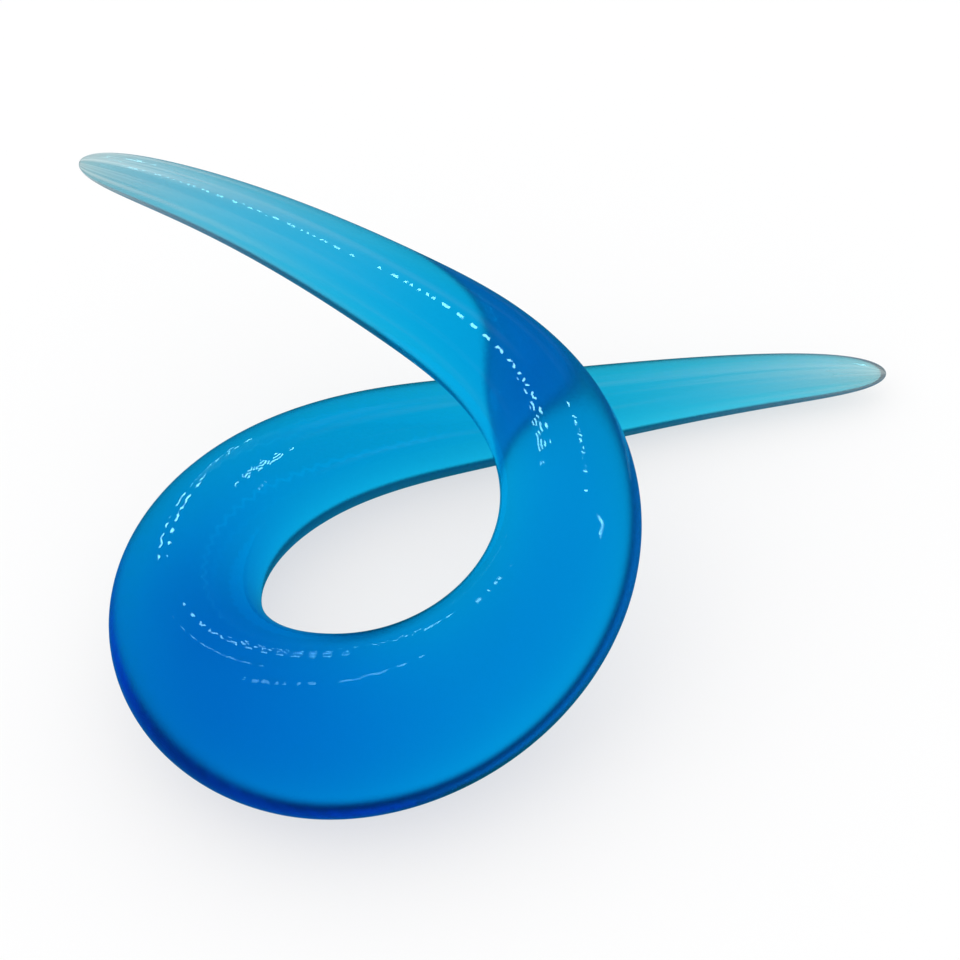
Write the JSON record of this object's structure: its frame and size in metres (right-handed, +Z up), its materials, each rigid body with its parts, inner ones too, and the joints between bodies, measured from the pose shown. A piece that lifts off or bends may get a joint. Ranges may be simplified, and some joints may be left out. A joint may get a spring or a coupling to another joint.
{
  "type": "twisted ear stretcher",
  "caption": "Solid blue glass rod, thick in the middle and tapered to round tips, bent into a loop with crossing arms; worn through a stretched ear lobe.",
  "frame": {"origin": "bottom centre of the part's box, on the floor that the piece lies on", "axes": "+Z up from the floor as the piece rests by itself; +X the longest way across, with the lower arm's tip at +X; the upper arm's tip points to -X +Y"},
  "size_m": [0.0384, 0.0372, 0.0139],
  "materials": {
    "glass": "fire-polished, clear blue all through"
  },
  "bodies": {
    "root": {"glass_twist": "glass"}
  },
  "joints": []
}
